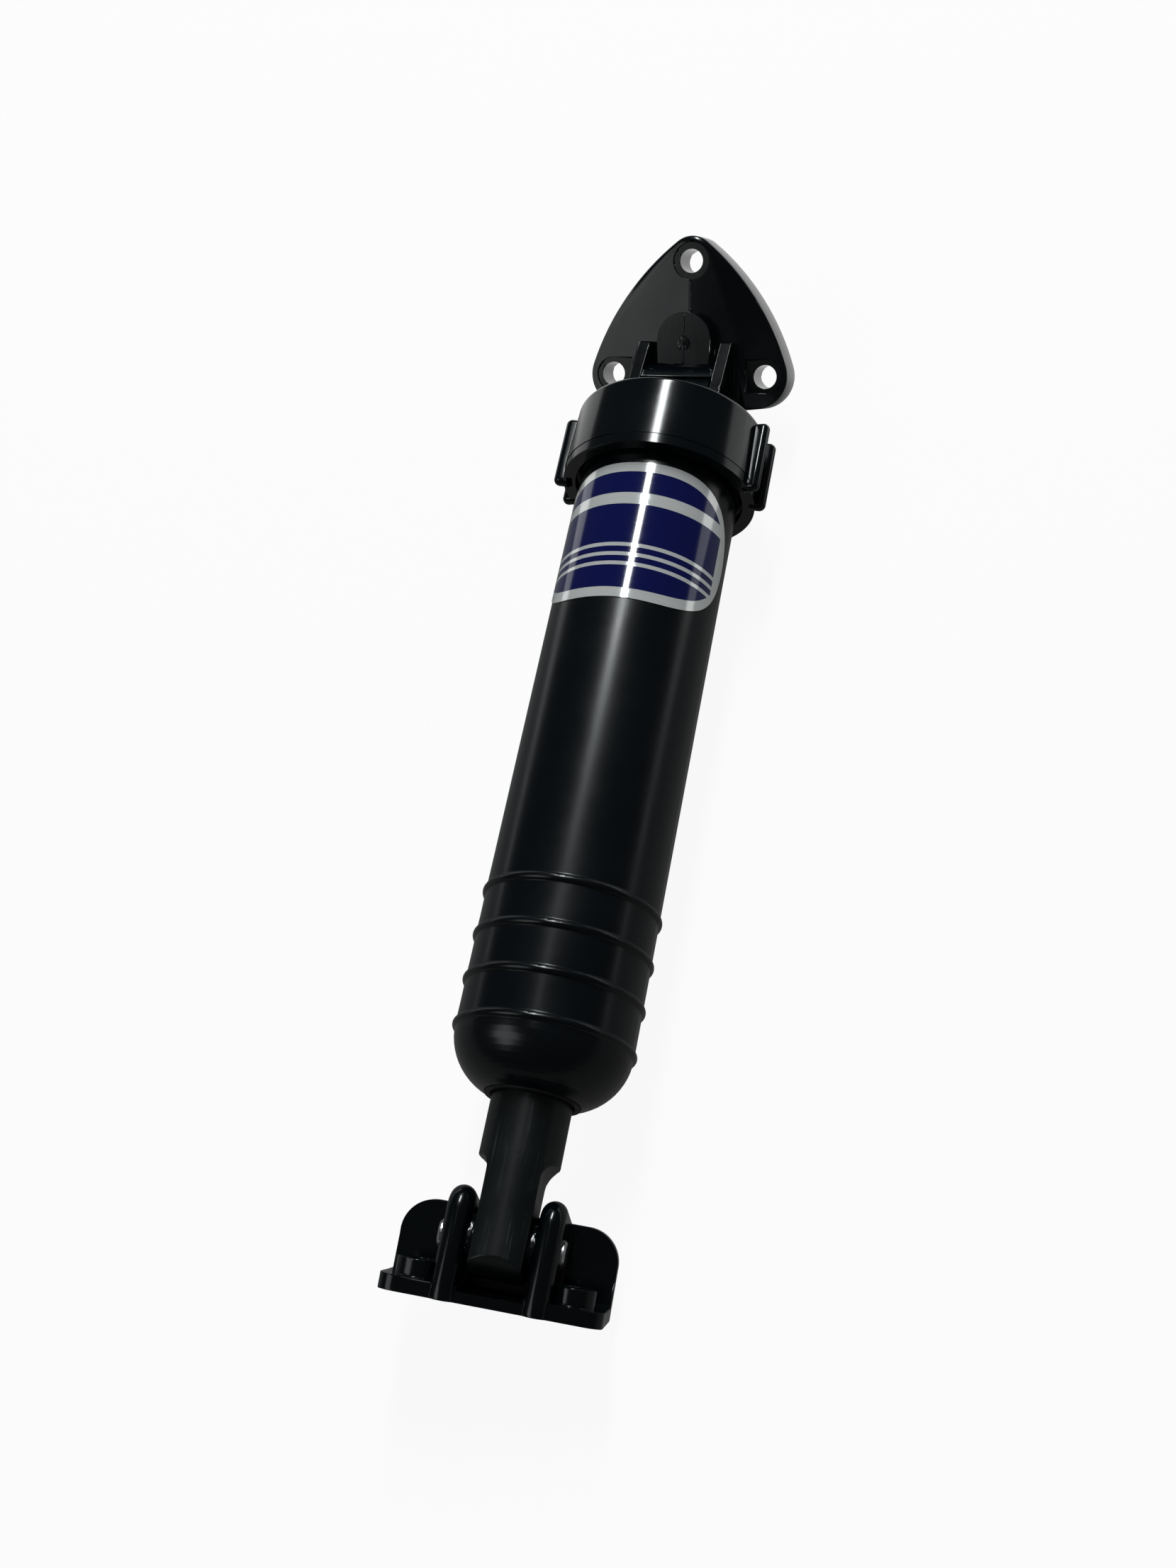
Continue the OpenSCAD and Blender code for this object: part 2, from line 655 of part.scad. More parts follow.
// arched boss over the hydraulic port
module port_boss() {
    translate([0, 0, -standoff - over]) linear_extrude(port_out + over) union() {
        translate([0, port_h]) circle(d = port_boss_w);
        translate([-port_boss_w / 2, port_foot_h]) square([port_boss_w, port_h - port_foot_h]);
    }
}

// seat for a screw's head beside an ear
module lower_pocket(side) {
    translate([side * hole_span / 2, hole_low_h, 0]) linear_extrude(standoff) union() {
        circle(r = pocket_low_r);
        translate([side > 0 ? -pocket_reach : 0, -pocket_low_r]) square([pocket_reach, 2 * pocket_low_r]);
    }
}

// cored back, with bosses left round the screws and the port
module core() {
    boss_r = hole_d / 2 + rim_t;
    translate([0, 0, plate_back_n - over]) linear_extrude(core_depth + over) difference() {
        polygon(plate_outline(rim_t));
        for (p = screw_places) translate(p) circle(r = boss_r);
        translate([0, port_h]) circle(d = port_d + 2 * rim_t);
        translate([-rim_t / 2, 0]) square([rim_t, hole_low_h + hole_rise]);
        translate([-hole_span / 2, hole_low_h - rim_t / 2]) square([hole_span, rim_t]);
    }
}

// oil passage from the port down behind the lug and into the pin's bore
module passage() {
    z = plate_back_n + port_depth - passage_d;
    translate([ear_x, 0, 0]) {
        translate([0, 0, z]) rotate([-90, 0, 0]) cylinder(d = passage_d, h = port_h, $fn = hull_faces);
        translate([0, 0, z]) cylinder(d = passage_d, h = -z, $fn = hull_faces);
    }
    translate([0, port_h, z]) rotate([0, 90, 0]) cylinder(d = passage_d, h = ear_x, $fn = hull_faces);
}

// the pin carries the oil from the ear's passage to the head's
module upper_pin() {
    color([0.78, 0.79, 0.8]) at_upper() difference() {
        chamfered_pin(ears_w);
        translate([-passage_d / 2, 0, 0]) rotate([0, 90, 0])
            cylinder(d = passage_d, h = ear_x + passage_d, $fn = hull_faces);
        for (x = [0, ear_x]) translate([x, 0, -pin_d]) cylinder(d = passage_d, h = pin_d, $fn = hull_faces);
    }
}

// pin along x with broken edges
module chamfered_pin(l) {
    rotate([0, 90, 0]) rotate_extrude() polygon([[0, -l / 2], [pin_r - chamfer, -l / 2],
        [pin_r, -l / 2 + chamfer], [pin_r, l / 2 - chamfer], [pin_r - chamfer, l / 2], [0, l / 2]]);
}

module pin_seal_ring(side) {
    color([0.02, 0.02, 0.02]) laid() translate([side * ring_spread, 0, upper_pin_z]) rotate([0, 90, 0])
        rotate_extrude() translate([pin_r + fit_c + pin_ring_d / 2, 0])
            circle(r = pin_ring_d / 2 - fit_c, $fn = hull_faces);
}

// grooved body of the piston, screwed on the ram's end
cup_z = piston_top_z - chamfer * 2 - cup_h;
wear_z = piston_low_z + chamfer * 2;

module piston() {
    body_d = bore_d - 2 * gap;
    color([0.5, 0.5, 0.52]) at_ram() difference() {
        translate([0, 0, piston_low_z]) cylinder(d = body_d, h = piston_h);
        tube(bore_d, body_d - 2 * groove_depth, cup_z - seat_c, cup_h + 2 * seat_c);
        tube(bore_d, body_d - 2 * groove_depth, wear_z - seat_c, wear_h + 2 * seat_c);
        translate([0, 0, piston_low_z - over])
            cylinder(d = ram_d + 2 * fit_c, h = ram_top_z - piston_low_z + over);
        cylinder(d = screw_shank_d + 2 * fit_c, h = rim_z);
        translate([0, 0, piston_top_z - screw_head_h - washer_t])
            cylinder(d = washer_d + 2 * seat_c, h = rim_z);
    }
}

module piston_washer() {
    color([0.7, 0.71, 0.73]) at_ram()
        tube(washer_d, screw_shank_d + 2 * fit_c, piston_top_z - screw_head_h - washer_t, washer_t);
}

module piston_screw() {
    head_z = piston_top_z - screw_head_h;
    color([0.7, 0.71, 0.73]) at_ram() difference() {
        union() {
            translate([0, 0, head_z]) cylinder(d = screw_head_d, h = screw_head_h - seat_c);
            translate([0, 0, head_z - screw_shank_l])
                cylinder(d = screw_shank_d, h = screw_shank_l + chamfer);
        }
        translate([0, 0, piston_top_z - hex_depth]) cylinder(d = hex_d, h = hex_depth + over, $fn = 6);
    }
}

module piston_cup() {
    body_d = bore_d - 2 * gap;
    color([0.08, 0.08, 0.08]) laid() difference() {
        tube(bore_d - 2 * fit_c, body_d - 2 * groove_depth + 2 * seat_c, cup_z, cup_h);
        tube(body_d - groove_depth + chamfer, body_d - groove_depth - chamfer, cup_z + cup_h / 2, cup_h);
    }
}

module wear_ring() {
    body_d = bore_d - 2 * gap;
    color([0.8, 0.78, 0.7]) laid()
        tube(bore_d - 2 * fit_c, body_d - 2 * groove_depth + 2 * seat_c, wear_z, wear_h);
}

module spring_seat() {
    color([0.7, 0.71, 0.73]) laid() tube(spring_d + 2 * wire_d, ram_d + 2 * fit_c, seat_low_z, seat_t);
}

module ram() {
    end_z = lower_pin_z - ram_end_h;
    flat_z = lower_pin_z + flat_h;
    shoulder_r = ram_r + over - flat_w / 2;
    color([0.06, 0.06, 0.065]) at_ram() difference() {
        intersection() {
            translate([0, 0, end_z - over]) cylinder(d = ram_d, h = ram_top_z - end_z + over);
            union() {
                translate([0, 0, end_z + ram_end_r]) bar(2 * ram_end_r, ram_d + 2 * over);
                translate([-ram_d, -ram_d, lower_pin_z])
                    cube([2 * ram_d, 2 * ram_d, ram_top_z - lower_pin_z]);
            }
        }
        translate([0, 0, lower_pin_z]) bar(pin_d + 2 * fit_c, ram_d + 2 * over);
        // the flats run out into the round in hollow shoulders
        for (side = [0, 1]) mirror([side, 0, 0]) rotate([90, 0, 0]) linear_extrude(2 * ram_d, center = true)
            polygon(concat([[ram_r + over, end_z - over], [flat_w / 2, end_z - over]],
                arc([ram_r + over, flat_z], shoulder_r, 180, 90)));
        translate([0, 0, ram_top_z - screw_shank_l])
            cylinder(d = screw_shank_d + 2 * fit_c, h = screw_shank_l + over);
    }
}

module lower_hinge() {
    foot_low = -foot_h;
    foot_top = foot_low + foot_t;
    ear_mid_x = (lower_gap + lower_ear_t) / 2;
    color([0.035, 0.035, 0.04]) at_lower() difference() {
        union() {
            foot();
            wall();
            for (side = [-1, 1]) {
                translate([side * ear_mid_x, 0, 0]) lower_ear();
                translate([side * (lower_gap - hub_l + over) / 2, 0, 0]) bar(hub_d, hub_l + over);
                translate([side * screw_span / 2, foot_low, 0]) rotate([-90, 0, 0])
                    cylinder(d = screw_boss_d, h = foot_t + screw_boss_h);
            }
        }
        bar(pin_d + 2 * press_c, foot_w);
        for (side = [-1, 1]) translate([side * screw_span / 2, foot_low - over, 0]) rotate([-90, 0, 0])
            cylinder(d = screw_d, h = foot_t + screw_boss_h + 2 * over);
        translate([-lower_gap / 2, foot_top - foot_relief, -wall_back])
            cube([lower_gap, foot_relief + over, wall_back + foot_front + lower_ear_out + over]);
    }
}

// base flange with rounded front corners
module foot() {
    rotate([90, 0, 0]) translate([0, 0, foot_h - foot_t]) linear_extrude(foot_t) union() {
        for (side = [-1, 1]) translate([side * (foot_w / 2 - foot_corner_r), foot_front - foot_corner_r])
            circle(r = foot_corner_r);
        translate([-foot_w / 2, wall_rear_n])
            square([foot_w, foot_front - foot_corner_r - wall_rear_n]);
        translate([-foot_w / 2 + foot_corner_r, wall_rear_n])
            square([foot_w - 2 * foot_corner_r, foot_front - wall_rear_n]);
    }
}

// upright wall with rounded top corners
module wall() {
    translate([0, 0, wall_rear_n]) linear_extrude(wall_t) union() {
        for (side = [-1, 1]) translate([side * (foot_w / 2 - wall_corner_r), wall_top - wall_corner_r])
            circle(r = wall_corner_r);
        translate([-foot_w / 2, -foot_h])
            square([foot_w, foot_h + wall_top - wall_corner_r]);
        translate([-foot_w / 2 + wall_corner_r, -foot_h])
            square([foot_w - 2 * wall_corner_r, foot_h + wall_top]);
    }
}

// gusset ear with a full round front rim
module lower_ear() {
    rim = lower_ear_t / 2;
    top_y = lower_ear_top - lower_ear_r;
    low_n = foot_front + lower_ear_out;
    hull() {
        for (a = [0 : 15 : 150])
            translate([0, top_y + (lower_ear_r - rim) * sin(a), (lower_ear_r - rim) * cos(a)])
            sphere(r = rim, $fn = hull_faces);
        translate([0, -foot_h, low_n - rim]) rotate([-90, 0, 0])
            cylinder(r = rim, h = foot_t, $fn = hull_faces);
        translate([-rim, -foot_h, -wall_back - over]) cube([lower_ear_t, foot_h + wall_top, over]);
    }
}

module lower_pin() {
    color([0.78, 0.79, 0.8]) at_lower() chamfered_pin(lower_gap + 2 * lower_ear_t + 2 * lower_pin_out);
}

barrel();
collar();
cylinder_head();
head_seal_ring();
rod_bushing();
rod_seal();
wiper();
label_foil();
return_spring();
upper_hinge();
upper_pin();
pin_seal_ring(-1);  // pin_seal_ring_left
pin_seal_ring(1);  // pin_seal_ring_right
piston_cup();
wear_ring();
spring_seat();
ram();
piston();
piston_washer();
piston_screw();
lower_hinge();
lower_pin();
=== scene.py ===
import math
import random

import bpy
import bmesh
from mathutils import Matrix, Vector


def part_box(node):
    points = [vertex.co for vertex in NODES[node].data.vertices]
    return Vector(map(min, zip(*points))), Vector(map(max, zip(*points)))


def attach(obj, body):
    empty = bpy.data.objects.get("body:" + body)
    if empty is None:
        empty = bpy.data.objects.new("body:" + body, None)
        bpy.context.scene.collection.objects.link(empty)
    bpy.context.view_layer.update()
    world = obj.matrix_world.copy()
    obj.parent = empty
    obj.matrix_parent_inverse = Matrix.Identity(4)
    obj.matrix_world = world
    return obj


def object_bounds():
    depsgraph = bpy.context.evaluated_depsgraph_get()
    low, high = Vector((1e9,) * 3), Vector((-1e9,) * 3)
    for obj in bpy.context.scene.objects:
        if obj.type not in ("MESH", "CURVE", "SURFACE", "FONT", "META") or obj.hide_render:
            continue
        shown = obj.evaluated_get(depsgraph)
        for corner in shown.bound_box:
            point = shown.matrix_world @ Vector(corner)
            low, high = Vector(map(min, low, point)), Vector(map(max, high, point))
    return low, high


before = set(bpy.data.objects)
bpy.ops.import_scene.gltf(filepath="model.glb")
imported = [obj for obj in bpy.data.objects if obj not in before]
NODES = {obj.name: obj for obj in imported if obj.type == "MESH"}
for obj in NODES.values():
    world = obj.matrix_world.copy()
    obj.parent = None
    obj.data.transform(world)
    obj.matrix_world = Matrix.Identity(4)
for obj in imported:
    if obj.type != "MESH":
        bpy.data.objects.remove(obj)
cad_low, cad_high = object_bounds()
MM = 0.001
MICRON = 0.000001

# Boxes of the head, the barrel, the foil, the hinge plate and its pin, from the frame.
head_low, head_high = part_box("cylinder_head")
barrel_low, barrel_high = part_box("barrel")
foil_low, foil_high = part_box("label_foil")
plate_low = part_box("upper_hinge")[0]
pin_low, pin_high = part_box("upper_pin")
AXIS_X = (head_low.x + head_high.x) / 2
AXIS_Z = (barrel_low.z + barrel_high.z) / 2
UPPER_PIN = (pin_low + pin_high) / 2
# The barrel's length, as in the part's source, from its rim to the dome's pole.
# The opening for the ram cuts the pole away, so the barrel's box ends a little short of it.
BARREL_L = 173 * MM
RIM_Y = barrel_high.y
DOME_Y = RIM_Y - BARREL_L


# Node materials

# Rays that find an edge to round in the shading.
BEVEL_SAMPLES = 6
# Lumps in a metre of each noise.
CLOUDS, GRAINS, STREAKS = 60.0, 900.0, 1400.0
STEEL_MARKS, STEEL_CLOUDS = 2500.0, 180.0
RUBBER_CLOUDS = 300.0
FOIL_BRUSH = 2200.0
# Band of the noise in which a rub comes up, a patch of rubs comes up, and the tone passes from dark to pale.
RUB_BAND = (0.56, 0.72)
PATCH_BAND = (0.45, 0.65)
TONE_BAND = (0.3, 0.7)
# A rub is this much paler and rougher than the plastic.
RUB_GAIN, RUB_LIFT, RUB_ROUGHNESS = 4.0, 0.01, 0.25
PLASTIC_IOR, PLASTIC_SPECULAR = 1.5, 0.4
# Depth of the cloudy and the streaky bumps as a multiple of the fine ones'.
CLOUD_DEPTH, STREAK_DEPTH = 4, 0.6
# Stretch that draws streaks out along the barrel.
ALONG_BARREL = (1.0, 0.06, 1.0)


def new_material(name):
    """An empty node material with its output and one principled shader."""
    material = bpy.data.materials.new(name)
    material.use_nodes = True
    nodes = material.node_tree.nodes
    links = material.node_tree.links
    nodes.clear()
    output = nodes.new("ShaderNodeOutputMaterial")
    shader = nodes.new("ShaderNodeBsdfPrincipled")
    links.new(shader.outputs["BSDF"], output.inputs["Surface"])
    return material, nodes, links, shader


def noise(nodes, links, coords, scale, detail=3.0, rough=0.5, stretch=None):
    """A noise texture in real sizes: scale counts its lumps in a metre."""
    source = coords
    if stretch is not None:
        mapping = nodes.new("ShaderNodeMapping")
        mapping.inputs["Scale"].default_value = stretch
        links.new(coords, mapping.inputs["Vector"])
        source = mapping.outputs["Vector"]
    texture = nodes.new("ShaderNodeTexNoise")
    texture.inputs["Scale"].default_value = scale
    texture.inputs["Detail"].default_value = detail
    texture.inputs["Roughness"].default_value = rough
    links.new(source, texture.inputs["Vector"])
    return texture.outputs["Fac"]


def ramp(nodes, links, value, low, high, at_low, at_high):
    """Maps value from low..high to at_low..at_high, held at both ends."""
    node = nodes.new("ShaderNodeMapRange")
    node.inputs["From Min"].default_value = low
    node.inputs["From Max"].default_value = high
    node.inputs["To Min"].default_value = at_low
    node.inputs["To Max"].default_value = at_high
    links.new(value, node.inputs["Value"])
    return node.outputs["Result"]


def math_node(nodes, links, operation, first, second=None):
    """One math node; each input is a socket or a number."""
    node = nodes.new("ShaderNodeMath")
    node.operation = operation
    for index, value in enumerate((first, second)):
        if value is None:
            continue
        if isinstance(value, (int, float)):
            node.inputs[index].default_value = value
        else:
            links.new(value, node.inputs[index])
    return node.outputs["Value"]


def mix_colour(nodes, links, factor, first, second):
    """Mixes two colours by a socket; each colour is a socket or an (r, g, b) tuple."""
    node = nodes.new("ShaderNodeMix")
    node.data_type = "RGBA"
    links.new(factor, node.inputs["Factor"])
    for name, value in (("A", first), ("B", second)):
        socket = [s for s in node.inputs if s.name == name and s.type == "RGBA"][0]
        if isinstance(value, tuple):
            socket.default_value = (*value, 1.0)
        else:
            links.new(value, socket)
    return [s for s in node.outputs if s.type == "RGBA"][0]


def object_coords(nodes):
    """The piece's own coordinates, in metres."""
    return nodes.new("ShaderNodeTexCoord").outputs["Object"]


def bumps(nodes, links, shader, layers, edge_radius=0.0):
    """Stacks bump layers of (height socket, depth in metres).

    Where edge_radius is more than 0, sharp edges are shaded as if rounded by it.
    """
    normal = None
    if edge_radius > 0:
        bevel = nodes.new("ShaderNodeBevel")
        bevel.samples = BEVEL_SAMPLES
        bevel.inputs["Radius"].default_value = edge_radius
        normal = bevel.outputs["Normal"]
    for height, depth in layers:
        bump = nodes.new("ShaderNodeBump")
        bump.inputs["Strength"].default_value = 1.0
        bump.inputs["Distance"].default_value = depth
        links.new(height, bump.inputs["Height"])
        if normal is not None:
            links.new(normal, bump.inputs["Normal"])
        normal = bump.outputs["Normal"]
    links.new(normal, shader.inputs["Normal"])


def moulded_plastic(name, dark, pale, rough, ripple, edge=0.0, scuffs=0.0, stretch=ALONG_BARREL):
    """Moulded plastic: a cloudy sheen, a faint orange peel, and fine rubs that lighten it.

    rough is the roughness at both ends of the clouds, ripple the depth of the finest bumps.
    """
    material, nodes, links, shader = new_material(name)
    coords = object_coords(nodes)
    cloud = noise(nodes, links, coords, CLOUDS, detail=4.0, rough=0.6)
    fine = noise(nodes, links, coords, GRAINS, detail=2.0)
    streak = noise(nodes, links, coords, STREAKS, rough=0.55, stretch=stretch)
    rub = ramp(nodes, links, streak, *RUB_BAND, 0.0, 1.0)
    patch = ramp(nodes, links, cloud, *PATCH_BAND, 0.0, 1.0)
    worn = math_node(nodes, links, "MULTIPLY", rub, patch)
    worn = math_node(nodes, links, "MULTIPLY", worn, scuffs)
    tone = ramp(nodes, links, cloud, *TONE_BAND, 0.0, 1.0)
    base = mix_colour(nodes, links, tone, dark, pale)
    rubbed = tuple(min(1.0, RUB_GAIN * part + RUB_LIFT) for part in pale)
    links.new(mix_colour(nodes, links, worn, base, rubbed), shader.inputs["Base Color"])
    sheen = ramp(nodes, links, cloud, *TONE_BAND, *rough)
    rougher = math_node(nodes, links, "MULTIPLY", worn, RUB_ROUGHNESS)
    links.new(math_node(nodes, links, "ADD", sheen, rougher), shader.inputs["Roughness"])
    shader.inputs["IOR"].default_value = PLASTIC_IOR
    shader.inputs["Specular IOR Level"].default_value = PLASTIC_SPECULAR
    layers = [(cloud, ripple * CLOUD_DEPTH), (fine, ripple), (streak, ripple * STREAK_DEPTH)]
    bumps(nodes, links, shader, layers, edge)
    return material


def steel(name, colour, rough, stretch):
    """Stainless steel with fine marks; a stretch below 1 draws them out along that axis."""
    material, nodes, links, shader = new_material(name)
    coords = object_coords(nodes)
    marks = noise(nodes, links, coords, STEEL_MARKS, detail=2.0, rough=0.6, stretch=stretch)
    cloud = noise(nodes, links, coords, STEEL_CLOUDS)
    dull = tuple(part * 0.82 for part in colour)
    links.new(mix_colour(nodes, links, cloud, colour, dull), shader.inputs["Base Color"])
    shader.inputs["Metallic"].default_value = 1.0
    sheen = ramp(nodes, links, marks, 0.2, 0.8, rough * 0.8, rough * 1.3)
    links.new(sheen, shader.inputs["Roughness"])
    bumps(nodes, links, shader, [(marks, 2 * MICRON)])
    return material


def rubber(name, colour):
    """Matt black seal rubber."""
    material, nodes, links, shader = new_material(name)
    coords = object_coords(nodes)
    cloud = noise(nodes, links, coords, RUBBER_CLOUDS, rough=0.6)
    dusty = tuple(part * 1.8 for part in colour)
    links.new(mix_colour(nodes, links, cloud, colour, dusty), shader.inputs["Base Color"])
    links.new(ramp(nodes, links, cloud, *TONE_BAND, 0.5, 0.68), shader.inputs["Roughness"])
    bumps(nodes, links, shader, [(cloud, 20 * MICRON)])
    return material


barrel_black = moulded_plastic(
    "barrel_black", (0.0012, 0.0028, 0.0042), (0.0022, 0.0040, 0.0056), (0.22, 0.27),
    4 * MICRON, edge=0.4 * MM)
collar_black = moulded_plastic(
    "collar_black", (0.0014, 0.0030, 0.0040), (0.0024, 0.0042, 0.0054), (0.11, 0.16),
    3 * MICRON)
hinge_black = moulded_plastic(
    "hinge_black", (0.0006, 0.0018, 0.0026), (0.0012, 0.0028, 0.0038), (0.14, 0.20),
    3 * MICRON)
ram_black = moulded_plastic(
    "ram_black", (0.0026, 0.0044, 0.0050), (0.0050, 0.0070, 0.0076), (0.30, 0.38),
    10 * MICRON, scuffs=0.8, stretch=(1.0, 0.04, 1.0))
piston_black = moulded_plastic(
    "piston_black", (0.010, 0.011, 0.012), (0.016, 0.017, 0.018), (0.40, 0.52),
    6 * MICRON, edge=0.3 * MM)
sleeve_white = moulded_plastic(
    "sleeve_white", (0.62, 0.59, 0.50), (0.70, 0.67, 0.58), (0.35, 0.45),
    5 * MICRON, edge=0.3 * MM)
pin_steel = steel("pin_steel", (0.62, 0.63, 0.64), 0.24, (0.05, 1.0, 1.0))
spring_steel = steel("spring_steel", (0.50, 0.51, 0.53), 0.3, (1.0, 1.0, 1.0))
seal_black = rubber("seal_black", (0.010, 0.010, 0.011))


# The foil label

# Width of the silver border, half the width of the blue field round the barrel, and softness of the print.
BORDER_W = 2.6 * MM
FIELD_HALF = 26.5 * MM
PRINT_SOFT = 0.05 * MM
# Silver stripes across the field: their middle along the barrel, from the foil's own, and their width.
STRIPES = (
    (-9.6 * MM, 1.0 * MM),
    (-7.0 * MM, 1.0 * MM),
    (-4.4 * MM, 1.0 * MM),
    (8.6 * MM, 3.2 * MM),
)


def blue_field(nodes, links, coords):
    """A socket that is 1 where the foil is printed blue and 0 where it stays silver."""
    parts = nodes.new("ShaderNodeSeparateXYZ")
    links.new(coords, parts.inputs["Vector"])
    x = math_node(nodes, links, "SUBTRACT", parts.outputs["X"], AXIS_X)
    z = math_node(nodes, links, "SUBTRACT", parts.outputs["Z"], AXIS_Z)
    turn = math_node(nodes, links, "ARCTAN2", x, z)
    radius = (foil_high.x - foil_low.x) / 2
    # across and along are measured on the foil, in metres, from its middle
    across = math_node(nodes, links, "MULTIPLY", turn, radius)
    along = math_node(nodes, links, "SUBTRACT", parts.outputs["Y"], (foil_low.y + foil_high.y) / 2)
    # seen from the side the foil's outline is a circle, so the foil gets shorter round the barrel
    half = (foil_high.y - foil_low.y) / 2
    depth = math_node(nodes, links, "SUBTRACT", foil_high.z, parts.outputs["Z"])
    rest = math_node(nodes, links, "MULTIPLY", depth, depth)
    rest = math_node(nodes, links, "SUBTRACT", half * half, rest)
    reach = math_node(nodes, links, "SQRT", math_node(nodes, links, "MAXIMUM", rest, 0.0))
    edge = math_node(nodes, links, "SUBTRACT", reach, math_node(nodes, links, "ABSOLUTE", along))
    inside = ramp(nodes, links, edge, BORDER_W - PRINT_SOFT, BORDER_W + PRINT_SOFT, 0.0, 1.0)
    flank = math_node(nodes, links, "ABSOLUTE", across)
    flank = ramp(nodes, links, flank, FIELD_HALF - PRINT_SOFT, FIELD_HALF + PRINT_SOFT, 1.0, 0.0)
    blue = math_node(nodes, links, "MULTIPLY", inside, flank)
    for middle, width in STRIPES:
        gap = math_node(nodes, links, "SUBTRACT", along, middle)
        gap = math_node(nodes, links, "ABSOLUTE", gap)
        beside = ramp(nodes, links, gap, width / 2 - PRINT_SOFT, width / 2 + PRINT_SOFT, 0.0, 1.0)
        blue = math_node(nodes, links, "MULTIPLY", blue, beside)
    return blue


def label_material():
    """Silver foil with a dark blue field and plain silver stripes."""
    material, nodes, links, shader = new_material("label_print")
    coords = object_coords(nodes)
    blue = blue_field(nodes, links, coords)
    brush = noise(nodes, links, coords, FOIL_BRUSH, detail=2.0, rough=0.6, stretch=(0.05, 1.0, 0.05))
    silver = mix_colour(nodes, links, brush, (0.70, 0.72, 0.71), (0.80, 0.82, 0.81))
    ink = mix_colour(nodes, links, brush, (0.0016, 0.0040, 0.062), (0.0024, 0.0056, 0.082))
    links.new(mix_colour(nodes, links, blue, silver, ink), shader.inputs["Base Color"])
    links.new(ramp(nodes, links, blue, 0.0, 1.0, 0.35, 0.0), shader.inputs["Metallic"])
    links.new(ramp(nodes, links, brush, *TONE_BAND, 0.08, 0.12), shader.inputs["Roughness"])
    shader.inputs["Coat Weight"].default_value = 0.4
    shader.inputs["Coat Roughness"].default_value = 0.03
    bumps(nodes, links, shader, [(blue, 10 * MICRON), (brush, 2 * MICRON)])
    return material


label_print = label_material()

NODE_MATERIALS = {
    "barrel": barrel_black, "collar": collar_black, "cylinder_head": collar_black,
    "head_seal_ring": seal_black, "rod_bushing": sleeve_white, "rod_seal": seal_black,
    "wiper": seal_black, "label_foil": label_print, "return_spring": spring_steel,
    "upper_hinge": hinge_black, "upper_pin": pin_steel, "pin_seal_ring_left": seal_black,
    "pin_seal_ring_right": seal_black, "piston_cup": seal_black, "wear_ring": sleeve_white,
    "spring_seat": pin_steel, "ram": ram_black, "piston": piston_black,
    "piston_washer": pin_steel, "piston_screw": pin_steel, "lower_hinge": hinge_black,
    "lower_pin": pin_steel,
}


def assign(node, material):
    """Gives a CAD node one material on all its faces."""
    piece = NODES[node]
    if not piece.material_slots:
        piece.data.materials.append(material)
    for slot in piece.material_slots:
        slot.material = material


for node, material in NODE_MATERIALS.items():
    assign(node, material)


# Rounded edges of the moulded pieces

# Edges sharper than this are rounded, and split in the shading.
SHARP_ANGLE = math.radians(35)
# Vertices nearer than this are welded, and faces that are flat within this angle are joined.
WELD_GAP = 0.002 * MM
FLAT_ANGLE = math.radians(0.5)
ROUND_SEGMENTS = 2
# Width of the rounding; at 0 the piece is only cleaned and shaded smooth.
ROUND_WIDTHS = {"upper_hinge": 0.45 * MM, "lower_hinge": 0.5 * MM, "ram": 0.4 * MM, "collar": 0.0}


def round_edges(node, width):
    """Gives a CAD node's edges a real rounding; its own vertices stay as they are."""
    piece = NODES[node]
    mesh = piece.data
    if "custom_normal" in mesh.attributes:
        mesh.attributes.remove(mesh.attributes["custom_normal"])
    for face in mesh.polygons:
        face.use_smooth = True
    weld = piece.modifiers.new("weld", "WELD")
    weld.merge_threshold = WELD_GAP
    flat = piece.modifiers.new("flat", "DECIMATE")
    flat.decimate_type = "DISSOLVE"
    flat.angle_limit = FLAT_ANGLE
    if width > 0:
        bevel = piece.modifiers.new("edges", "BEVEL")
        # measured along the neighbouring edges, so that a slanting corner doesn't run out into a spike
        bevel.offset_type = "ABSOLUTE"
        bevel.width = width
        bevel.segments = ROUND_SEGMENTS
        bevel.limit_method = "ANGLE"
        bevel.angle_limit = SHARP_ANGLE
        bevel.use_clamp_overlap = False
        bevel.harden_normals = True
    split = piece.modifiers.new("split", "EDGE_SPLIT")
    split.split_angle = SHARP_ANGLE
    split.use_edge_sharp = False


for node, width in ROUND_WIDTHS.items():
    round_edges(node, width)


# Moulding marks on the boss of the hinge plate

# Tilt of the plate and places on it, up and out from its pin, as in the part's source.
PLATE_TILT = math.radians(36)
BOSS_FACE = -4.2 * MM
BOSS_MIDDLE = 16.4 * MM
BOSS_R = 7.15 * MM
BOSS_FOOT = 10.0 * MM
BOSS_TOP = BOSS_MIDDLE + BOSS_R


def on_plate(x, up, out):
    """World place of a point given across, up and out of the hinge plate from its pin."""
    sine, cosine = math.sin(PLATE_TILT), math.cos(PLATE_TILT)
    return UPPER_PIN + Vector((x, up * cosine - out * sine, up * sine + out * cosine))


def make_piece(name, points, faces, material, body):
    """A smooth mesh piece that rides on the body of the CAD node given."""
    mesh = bpy.data.meshes.new(name)
    mesh.from_pydata([tuple(p) for p in points], [], faces)
    mesh.update()
    piece = bpy.data.objects.new(name, mesh)
    bpy.context.scene.collection.objects.link(piece)
    mesh.materials.append(material)
    for face in mesh.polygons:
        face.use_smooth = True
    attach(piece, body)


